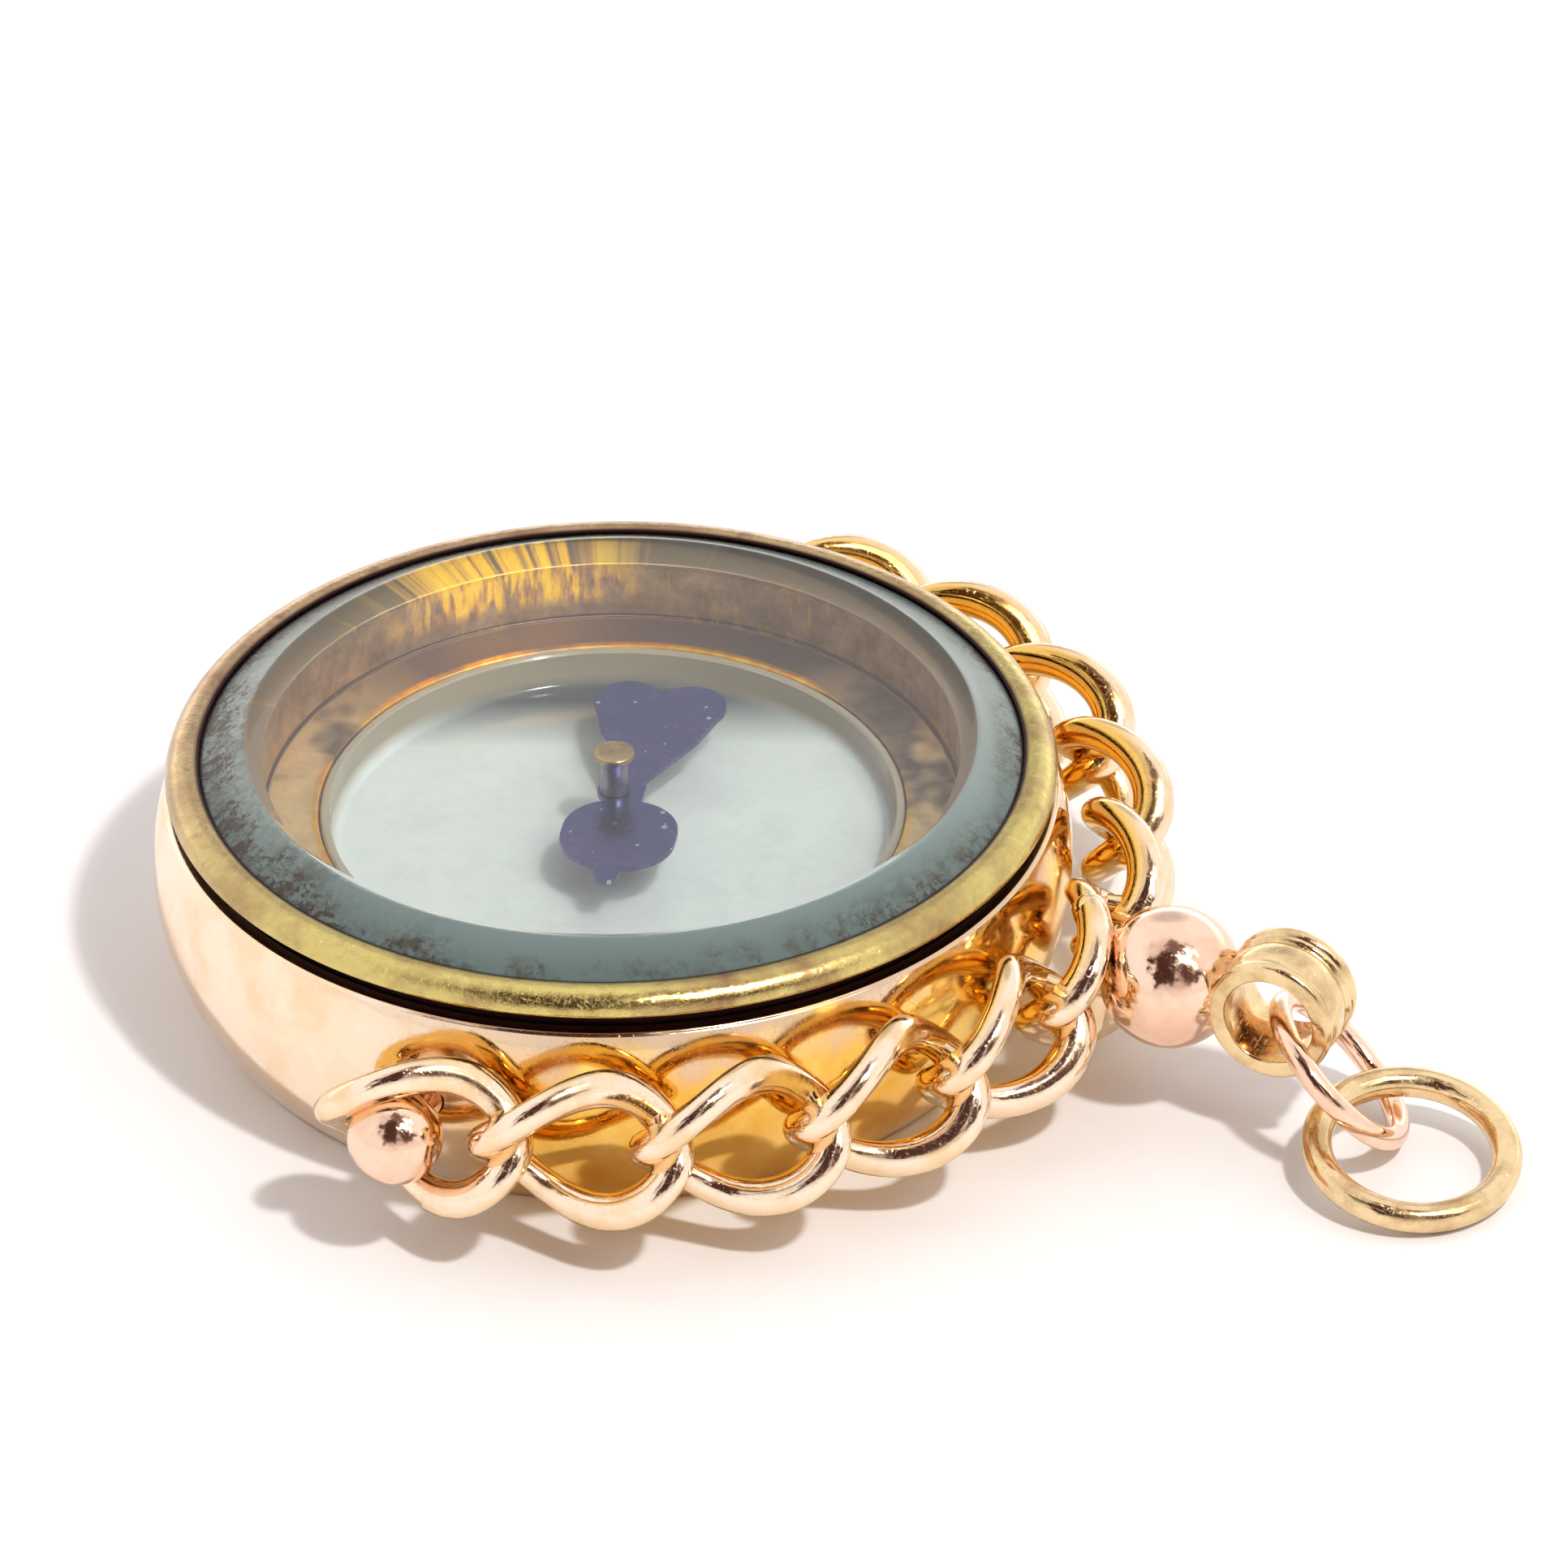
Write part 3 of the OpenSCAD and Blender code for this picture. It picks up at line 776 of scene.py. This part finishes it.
class PENDANT_OT_bezel(bpy.types.Operator):
    """The rounded ring round the glass, with the skirt that drops into the case"""

    bl_idname = "pendant.bezel"
    bl_label = "Bezel"

    def execute(self, context):
        s = settings()
        rim, lip_r = CUP_HIGH.z, BEZEL_HIGH.x
        crown = s.bezel_round
        opening = lip_r - s.bezel_width
        skirt_out = lip_r - s.lip_wall - FIT
        skirt_in = skirt_out - s.skirt_wall
        foot = BEZEL_LOW.z
        centre = lip_r - crown
        end = 180 - math.degrees(math.acos((centre - opening) / crown))
        groove = GLASS_HIGH.x + FIT
        seat_top = GLASS_HIGH.z - s.bevel_height + 0.04 * MM
        slope = s.bevel_height / (GLASS_HIGH.x - s.flat_radius)
        inner_low = seat_top + (GLASS_HIGH.x - opening) * slope
        outline = [(skirt_in, foot), (skirt_out, foot), (skirt_out, rim)]
        outline += arc(lip_r - 0.1 * MM, rim + 0.1 * MM, 0.1 * MM, -90, 0, 4)
        outline += arc(centre, rim, crown, 14, end, 22)
        outline += [(opening, inner_low), (groove, seat_top), (groove, rim - 0.01 * MM),
                    (skirt_in, rim - 0.01 * MM)]
        ring = turned("bezel_ring", outline, s.turn_steps, closed=True)
        dress(ring, "case", "green_gold", "bezel")
        return {"FINISHED"}


class PENDANT_OT_glass(bpy.types.Operator):
    """The flat-topped glass with its wide bevel"""

    bl_idname = "pendant.glass"
    bl_label = "Glass"

    def execute(self, context):
        s = settings()
        low, top, edge = GLASS_LOW.z, GLASS_HIGH.z, GLASS_HIGH.x
        bevel_low = top - s.bevel_height
        slope = math.degrees(math.atan2(s.bevel_height, edge - s.flat_radius))
        soft = 0.5 * MM
        turn = soft * math.tan(math.radians(slope / 2))
        outline = [(0, low), (edge - 0.06 * MM, low), (edge, low + 0.06 * MM), (edge, bevel_low)]
        outline += arc(s.flat_radius - turn, top - soft, soft, 90 - slope, 90, 6)
        outline += [(0, top)]
        pane = turned("glass_pane", outline, s.turn_steps)
        smooth(pane, 20)
        dress(pane, "case", "glass", "crystal")
        pane.data.materials.append(finish_of("grimed_glass"))
        for face in pane.data.polygons:
            out = math.hypot(face.center.x, face.center.y)
            if face.center.z > bevel_low and out > s.flat_radius and face.normal.z > 0.3:
                face.material_index = 1
        return {"FINISHED"}


class PENDANT_OT_dial(bpy.types.Operator):
    """The dished dial with its upstanding edge"""

    bl_idname = "pendant.dial"
    bl_label = "Dial"

    def execute(self, context):
        s = settings()
        low, top, out = DIAL_LOW.z, DIAL_HIGH.z, DIAL_HIGH.x
        floor = low + s.dial_floor
        wall = out - s.dial_edge
        dish, foot, lip = 0.35 * MM, 0.04 * MM, 0.05 * MM
        outline = [(0, low), (out - foot, low), (out, low + foot)]
        outline += [(out, top - lip), (out - lip, top), (wall + lip, top), (wall, top - lip)]
        outline += arc(wall - dish, floor + dish, dish, 0, -90, 8)
        outline += [(0, floor)]
        disc = turned("dial_disc", outline, s.turn_steps)
        axis = (POST_LOW + POST_HIGH) / 2
        bore(disc, (POST_HIGH.x - POST_LOW.x) / 2 + FIT, (axis.x, axis.y, low - MM),
             (axis.x, axis.y, floor + MM))
        dress(disc, "case", "dial_white", "dial")
        return {"FINISHED"}


class PENDANT_OT_needle(bpy.types.Operator):
    """The pointed post, the cap that turns on it and the finish of the needle"""

    bl_idname = "pendant.needle"
    bl_label = "Needle"

    def execute(self, context):
        s = settings()
        axis = (POST_LOW + POST_HIGH) / 2
        thin = (POST_HIGH.x - POST_LOW.x) / 2
        low, high = POST_LOW.z, POST_HIGH.z
        post = turned("post_pin", [(0, low), (thin, low), (thin, high - 0.4 * MM),
                                   (thin * 0.85, high - 0.34 * MM), (0.03 * MM, high - 0.02 * MM),
                                   (0, high)], 48)
        place(post, (axis.x, axis.y, 0))
        dress(post, "case", "cap_brass", "needle_post")

        edge, top = (CAP_HIGH.x - CAP_LOW.x) / 2, CAP_HIGH.z
        under, blade = top - s.cap_disc, NEEDLE_HIGH.z + SEAT
        hollow = 0.21 * MM
        lip = 0.07 * MM
        disc = turned("cap_disc", [(0, top), (edge - 0.25 * MM, top)]
                      + arc(edge - lip, top - lip, lip, 80, 0, 5)
                      + arc(edge - lip, under + lip, lip, 0, -90, 5)
                      + [(s.stem_radius - 0.02 * MM, under), (0, under)], 96)
        place(disc, (axis.x, axis.y, 0))
        dress(disc, "needle", "cap_brass", "needle_cap")
        wide, head = s.stem_radius, under - 0.005 * MM
        waist, spigot = wide - 0.03 * MM, hollow + 0.09 * MM
        stem = turned("cap_stem", [
            (hollow, head), (wide, head), (wide, under - 0.2 * MM), (waist, under - 0.26 * MM),
            (waist, blade + 0.16 * MM), (wide, blade + 0.1 * MM), (wide, blade), (spigot, blade),
            (spigot, CAP_LOW.z), (hollow, CAP_LOW.z)], 64, closed=True)
        place(stem, (axis.x, axis.y, 0))
        # The stem takes a shaded copy of the cap's brass: painted shade.
        dress(stem, "needle", "cap_brass", "needle_cap", finish="stem_painted_shade")

        blade_node = frame["nodes"]["needle"]
        blade_node.data.materials.clear()
        blade_node.data.materials.append(finish_of("blued_steel"))
        return {"FINISHED"}


class PENDANT_OT_pins(bpy.types.Operator):
    """The two ball-headed swivel pins"""

    bl_idname = "pendant.pins"
    bl_label = "Swivel pins"

    def execute(self, context):
        s = settings()
        ball = (BACK_PIN_HIGH.x - BACK_PIN_LOW.x) / 2
        centre = BACK_PIN_HIGH.y - ball
        neck = math.degrees(math.asin(s.pin_radius / ball))
        outline = [(0, BACK_PIN_LOW.y), (s.pin_radius - 0.05 * MM, BACK_PIN_LOW.y),
                   (s.pin_radius, BACK_PIN_LOW.y + 0.05 * MM)]
        outline += arc(0, centre, ball, neck - 90, 90, 40)
        pin = turned("pin_back", outline, 96)
        twin = copy_of(pin, "pin_front")
        place(pin, (0, 0, SWIVEL.z), (-math.pi / 2, 0, 0))
        place(twin, (0, 0, SWIVEL.z), (math.pi / 2, 0, 0))
        dress(pin, "bow", "rose_gold", "swivel_pin_back", finish="ball_gold")
        dress(twin, "bow", "rose_gold", "swivel_pin_front", finish="ball_gold")
        return {"FINISHED"}


def link_step(s):
    """Angle round the bow from one link to the next."""
    return (math.pi - 2 * s.end_lead) / (s.links - 1)


def link_angle(s, i):
    """Angle round the bow of the middle of link i, from the front pin to the back one."""
    return -math.pi / 2 + s.end_lead + i * link_step(s)


def wire_point(s, i, t):
    """Point t round the middle of the wire of link i."""
    along = (s.link_length - s.wire) / 2 * math.cos(t)
    across = (s.link_width - s.wire) / 2 * math.sin(t)
    twist = -s.link_twist * math.cos(t)
    r = s.bow_radius + across * math.sin(twist)
    a = link_angle(s, i) + along / s.bow_radius
    return Vector((r * math.cos(a), r * math.sin(a), SWIVEL.z + across * math.cos(twist)))


class PENDANT_OT_links(bpy.types.Operator):
    """The curb links of the bow: one oval of wire, twisted, bent round the bow and repeated"""

    bl_idname = "pendant.links"
    bl_label = "Curb links"

    def execute(self, context):
        s = settings()
        half_long = (s.link_length - s.wire) / 2
        half_wide = (s.link_width - s.wire) / 2
        clear_selection()
        bpy.ops.curve.primitive_bezier_circle_add(radius=1)
        link = bpy.context.active_object
        bpy.ops.transform.resize(value=(half_long, half_wide, 1))
        bpy.ops.object.transform_apply(location=True, rotation=True, scale=True)
        link.data.dimensions = "3D"
        for point in link.data.splines[0].bezier_points:
            point.radius = 1
        link.data.resolution_u = 20
        link.data.bevel_depth = s.wire / 2
        link.data.bevel_resolution = 6
        bpy.ops.object.convert(target="MESH")
        link = bpy.context.active_object
        place(link, rotation=(math.pi / 2, 0, 0))
        long = half_long * 2 + s.wire
        twist = link.modifiers.new("twist", "SIMPLE_DEFORM")
        twist.deform_method = "TWIST"
        twist.deform_axis = "X"
        twist.angle = -2 * s.link_twist * long / (2 * half_long)
        pick(link)
        bpy.ops.object.modifier_apply(modifier=twist.name)
        bend = link.modifiers.new("bend", "SIMPLE_DEFORM")
        bend.deform_method = "BEND"
        bend.deform_axis = "Z"
        bend.angle = link.dimensions.x / s.bow_radius
        bpy.ops.object.modifier_apply(modifier=bend.name)
        smooth(link, 60)
        links = [link] + [copy_of(link, "link") for _ in range(s.links - 1)]
        for i, piece in enumerate(links):
            piece.name = f"curb_link_{i + 1:02d}"
            piece.data.name = piece.name
            a = link_angle(s, i)
            place(piece, (s.bow_radius * math.cos(a), s.bow_radius * math.sin(a), SWIVEL.z),
                  (0, 0, a + math.pi / 2))
            dress(piece, "bow", "yellow_gold", "curb_bow")
        return {"FINISHED"}


def spool(name, start, end, thick, waist):
    """A run of solder between two points, with a waist."""
    half = (end - start).length / 2
    r = thick / 2
    outline = [(0, -half - r)] + arc(0, -half, r, -80, -20, 6)
    outline += [(r * (waist + (1 - waist) * (k / 4) ** 2), half * k / 4) for k in range(-3, 4)]
    outline += arc(0, half, r, 20, 80, 6) + [(0, half + r)]
    piece = turned(name, outline, 24)
    turn = (end - start).to_track_quat("Z", "Y").to_euler()
    return place(piece, (start + end) / 2, turn)


class PENDANT_OT_solder(bpy.types.Operator):
    """The solder where neighbouring links touch"""

    bl_idname = "pendant.solder"
    bl_label = "Solder"

    def execute(self, context):
        s = settings()
        crossing = math.acos(s.bow_radius * link_step(s) / (s.link_length - s.wire))
        for i in range(s.links - 1):
            parts = [spool("joint", wire_point(s, i, turn), wire_point(s, i + 1, math.pi - turn),
                           0.6 * MM, 0.85) for turn in (crossing, -crossing)]
            parts.append(spool("joint", wire_point(s, i, 0), wire_point(s, i + 1, math.pi),
                               0.84 * MM, 0.8))
            joint = join(f"solder_{i + 1:02d}", *parts)
            dress(joint, "bow", "yellow_gold", "curb_bow")
        return {"FINISHED"}


class PENDANT_OT_apex(bpy.types.Operator):
    """The ball at the top of the bow, its collar of solder and the ridged bail"""

    bl_idname = "pendant.apex"
    bl_label = "Ball and bail"

    def execute(self, context):
        s = settings()
        bail_r = s.bail_hole + s.bail_wall
        bail_x = BOW_HIGH.x - bail_r
        ball_x = bail_x - s.bail_hole - 0.05 * MM - s.ball_radius
        height = (BOW_LOW.z + BOW_HIGH.z) / 2 + 0.3 * MM
        r = s.ball_radius
        ball = turned("apex_ball", arc(0, 0, r, -90, 90, 64), 128)
        place(ball, (ball_x, 0, height), (0, math.pi / 2, 0))
        dress(ball, "bow", "rose_gold", "curb_bow", finish="ball_gold")

        foot = s.bow_radius + s.wire / 2
        middle = (s.links - 1) // 2
        arms = [spool("arm", Vector((foot, 0, height)), wire_point(s, middle, turn), s.wire, 0.9)
                for turn in (math.pi / 2, -math.pi / 2)]
        collar = turned("collar", arc(0.75 * MM, -0.12 * MM, 0.22 * MM, -90, 90, 10)
                        + [(0.5 * MM, 0.3 * MM), (0.5 * MM, -0.34 * MM)], 64, closed=True)
        place(collar, (foot + 0.1 * MM, 0, height), (0, math.pi / 2, 0))
        arms.append(collar)
        dress(join("apex_solder", *arms), "bow", "yellow_gold", "curb_bow")

        # The bail's section: a rounded edge, a ridge, a shallow waist, a bead, a ridge and an edge
        half, hole, soft = s.bail_width / 2, s.bail_hole, 0.08 * MM
        outline = arc(hole + soft, half - soft, soft, 180, 90, 3)
        outline += arc(bail_r - 0.19 * MM, half - 0.18 * MM, 0.18 * MM, 90, -50, 8)
        outline += arc(bail_r - 1.37 * MM, 0.17 * MM, 1.35 * MM, 21, -21, 10)
        outline += arc(bail_r - 0.12 * MM, -0.48 * MM, 0.11 * MM, 70, -70, 6)
        outline += arc(bail_r - 0.25 * MM, 0.24 * MM - half, 0.23 * MM, 60, -90, 6)
        outline += arc(hole + soft, soft - half, soft, -90, -180, 3)
        bail = turned("bail_ring", outline, 96, closed=True)
        place(bail, (bail_x, 0, height), (math.pi / 2, 0, 0))
        dress(bail, "bow", "yellow_gold", "curb_bow", finish="ring_gold")
        return {"FINISHED"}


# How much thinner, in radius, the wire of a dressed ring is than that of its solid
RING_THIN = 0.04 * MM


def jump_ring(name, node, wire, turn):
    """A ring of round wire. Its radius is taken from its box and its slope, and not from its
    sideways lean, so the rose ring, which leans most, is a little larger than its solid."""
    low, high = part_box(node)
    radius = (high.x - low.x - wire) / 2 / math.cos(turn[1])
    clear_selection()
    bpy.ops.mesh.primitive_torus_add(
        major_radius=radius, minor_radius=wire / 2 - RING_THIN, major_segments=240,
        minor_segments=24)
    ring = bpy.context.active_object
    ring.name = name
    ring.data.name = name
    smooth(ring, 60)
    return place(ring, (low + high) / 2, turn)


class PENDANT_OT_rings(bpy.types.Operator):
    """The thin rose-gold ring in the bail and the larger yellow-gold ring that lies on the floor"""

    bl_idname = "pendant.rings"
    bl_label = "Jump rings"

    def execute(self, context):
        s = settings()
        rose = jump_ring("ring_rose", "rose_jump_ring", s.rose_wire,
                         (math.radians(-20), math.radians(44), 0))
        dress(rose, "bow", "rose_gold", "rose_jump_ring", finish="ball_gold")
        gold = jump_ring("ring_gold", "gold_jump_ring", s.gold_wire,
                         (math.radians(7.6), math.radians(9.3), 0))
        dress(gold, "bow", "yellow_gold", "gold_jump_ring", finish="ring_gold")
        return {"FINISHED"}


# Floor, lamps and camera

# The photo's camera, fitted to the ellipses of the case; LEVEL is the photo's right, SHIFT the
# place of the picture's middle beside the point AIM
ELEVATION = math.radians(33.13)
ROLL = math.radians(0.71)
DISTANCE = 450 * MM
FOCAL_PIXELS = 20626
PHOTO_PIXELS = 1932
SENSOR = 36.0
LEVEL = Vector((0.91706, 0.39875, 0))
AIM = Vector((0, 0, 6.6 * MM))
SHIFT_RIGHT, SHIFT_UP = 4.632 * MM, -0.358 * MM
FLOOR_SIZE = 1.6


def camera_axes():
    """Right, up and forward of the photograph's camera."""
    across = LEVEL.normalized()
    forward = Vector((-across.y * math.cos(ELEVATION), across.x * math.cos(ELEVATION),
                      -math.sin(ELEVATION)))
    upright = across.cross(forward)
    right = math.cos(ROLL) * across - math.sin(ROLL) * upright
    up = math.sin(ROLL) * across + math.cos(ROLL) * upright
    return right, up, forward


def lamp(context, name, where, size, power, colour):
    """A round lamp that points at the pendant."""
    data = bpy.data.lights.new(name, "AREA")
    data.shape = "DISK"
    data.size = size
    data.energy = power
    data.color = colour
    obj = bpy.data.objects.new(name, data)
    obj.location = where
    obj.rotation_euler = (-Vector(where)).to_track_quat("-Z", "Y").to_euler()
    context.collection.objects.link(obj)


def studio(right, up, forward):
    """The white tent round the pendant, with the shapes that polished gold mirrors."""
    world = bpy.data.worlds.new("studio")
    world.use_nodes = True
    tree = world.node_tree
    sky = tree.nodes["Background"]
    coord = add(tree, "ShaderNodeTexCoord").outputs["Generated"]
    height = parts_of(tree, coord)["Z"]
    ahead = Vector((forward.x, forward.y, -forward.z))
    beyond = vector_maths(tree, "DOT_PRODUCT", coord, tuple(ahead))
    tent = mixed(tree, remap(tree, height, 0.0, 0.6), (0.98, 0.95, 0.94, 1), (1.03, 1.0, 1.01, 1))
    tent = mixed(tree, remap(tree, beyond, 0.94, 0.985), tent, (0.66, 0.64, 0.66, 1))
    glow = product(tree, remap(tree, height, 0.30, 0.14), remap(tree, beyond, 0.45, 0.8))
    colour = mixed(tree, glow, tent, (2.0, 1.92, 1.85, 1))
    # Each shape: its place to the right, up and behind the camera, the cosines of its edge and
    # of its core, and its colour
    shapes = (((0.10, 0.30, 0.95), 0.66, 0.80, (0.74, 0.66, 0.64, 1)),
              ((0.15, 0.68, 0.72), 0.955, 0.97, (0.20, 0.13, 0.11, 1)),
              ((0.52, 0.02, 0.86), 0.945, 0.96, (0.10, 0.05, 0.04, 1)),
              ((-0.16, 0.22, 0.96), 0.895, 0.92, (0.07, 0.03, 0.025, 1)),
              ((0.48, 0.50, 0.72), 0.978, 0.986, (2.4, 2.3, 2.2, 1)))
    ripple = noise(tree, coord, 3.5, 2.0, 0.5, output="Color")
    offset = vector_maths(tree, "SUBTRACT", ripple, (0.5, 0.5, 0.5))
    bent = vector_maths(tree, "NORMALIZE",
                        vector_maths(tree, "MULTIPLY_ADD", offset, (0.9, 0.9, 0.9), coord))
    for (rightward, upward, behind), edge, core, shade in shapes:
        aim_at = (rightward * right + upward * up - behind * forward).normalized()
        toward = vector_maths(tree, "DOT_PRODUCT", bent, tuple(aim_at))
        colour = mixed(tree, remap(tree, toward, edge, core), colour, shade)
    tree.links.new(colour, sky.inputs["Color"])
    sky.inputs["Strength"].default_value = 1.1
    return world


class PENDANT_OT_stage(bpy.types.Operator):
    """The pale floor, the soft lamps and the photograph's camera"""

    bl_idname = "pendant.stage"
    bl_label = "Stage"

    def execute(self, context):
        right, up, forward = camera_axes()

        clear_selection()
        bpy.ops.mesh.primitive_plane_add(size=FLOOR_SIZE)
        floor = bpy.context.active_object
        floor.name = "floor"
        floor.data.materials.append(finish_of("paper"))

        lens = bpy.data.cameras.new("camera")
        lens.sensor_width = SENSOR
        lens.lens = FOCAL_PIXELS / PHOTO_PIXELS * SENSOR
        lens.clip_start = 0.01
        lens.clip_end = 10
        camera = bpy.data.objects.new("camera", lens)
        context.collection.objects.link(camera)
        position = AIM + SHIFT_RIGHT * right + SHIFT_UP * up - DISTANCE * forward
        turn = Matrix((right, up, -forward)).transposed().to_4x4()
        camera.matrix_world = Matrix.Translation(position) @ turn
        context.scene.camera = camera

        lamp(context, "key", Vector((0.28, -0.152, 0.5)), 0.04, 2.1, (1.0, 0.985, 0.96))
        lamp(context, "spark", right * 0.13 + up * 0.24 - forward * 0.42, 0.03, 0.12,
             (1.0, 1.0, 1.0))
        context.scene.world = studio(right, up, forward)
        context.scene.view_settings.view_transform = "Standard"
        context.scene.view_settings.look = "None"
        context.scene.view_settings.exposure = 0.0
        return {"FINISHED"}


class PENDANT_PT_panel(bpy.types.Panel):
    """Lists the pieces and their sizes"""

    bl_idname = "PENDANT_PT_panel"
    bl_label = "Compass pendant"
    bl_space_type = "VIEW_3D"
    bl_region_type = "UI"
    bl_category = "Compass pendant"

    def draw(self, context):
        column = self.layout.column()
        for step in STEPS:
            column.operator(step.bl_idname)
        for label in PendantSizes.__annotations__:
            column.prop(context.scene.pendant, label)


STEPS = (PENDANT_OT_stage, PENDANT_OT_case, PENDANT_OT_cup, PENDANT_OT_bezel, PENDANT_OT_glass,
         PENDANT_OT_dial, PENDANT_OT_needle, PENDANT_OT_pins, PENDANT_OT_links,
         PENDANT_OT_solder, PENDANT_OT_apex, PENDANT_OT_rings)
CLASSES = (PendantSizes, *STEPS, PENDANT_PT_panel)


def register():
    for item in CLASSES:
        bpy.utils.register_class(item)
    bpy.types.Scene.pendant = PointerProperty(type=PendantSizes)


def unregister():
    del bpy.types.Scene.pendant
    for item in reversed(CLASSES):
        bpy.utils.unregister_class(item)


def main():
    register()
    for step in STEPS:
        group, name = step.bl_idname.split(".")
        getattr(getattr(bpy.ops, group), name)()


if __name__ == "__main__":
    main()
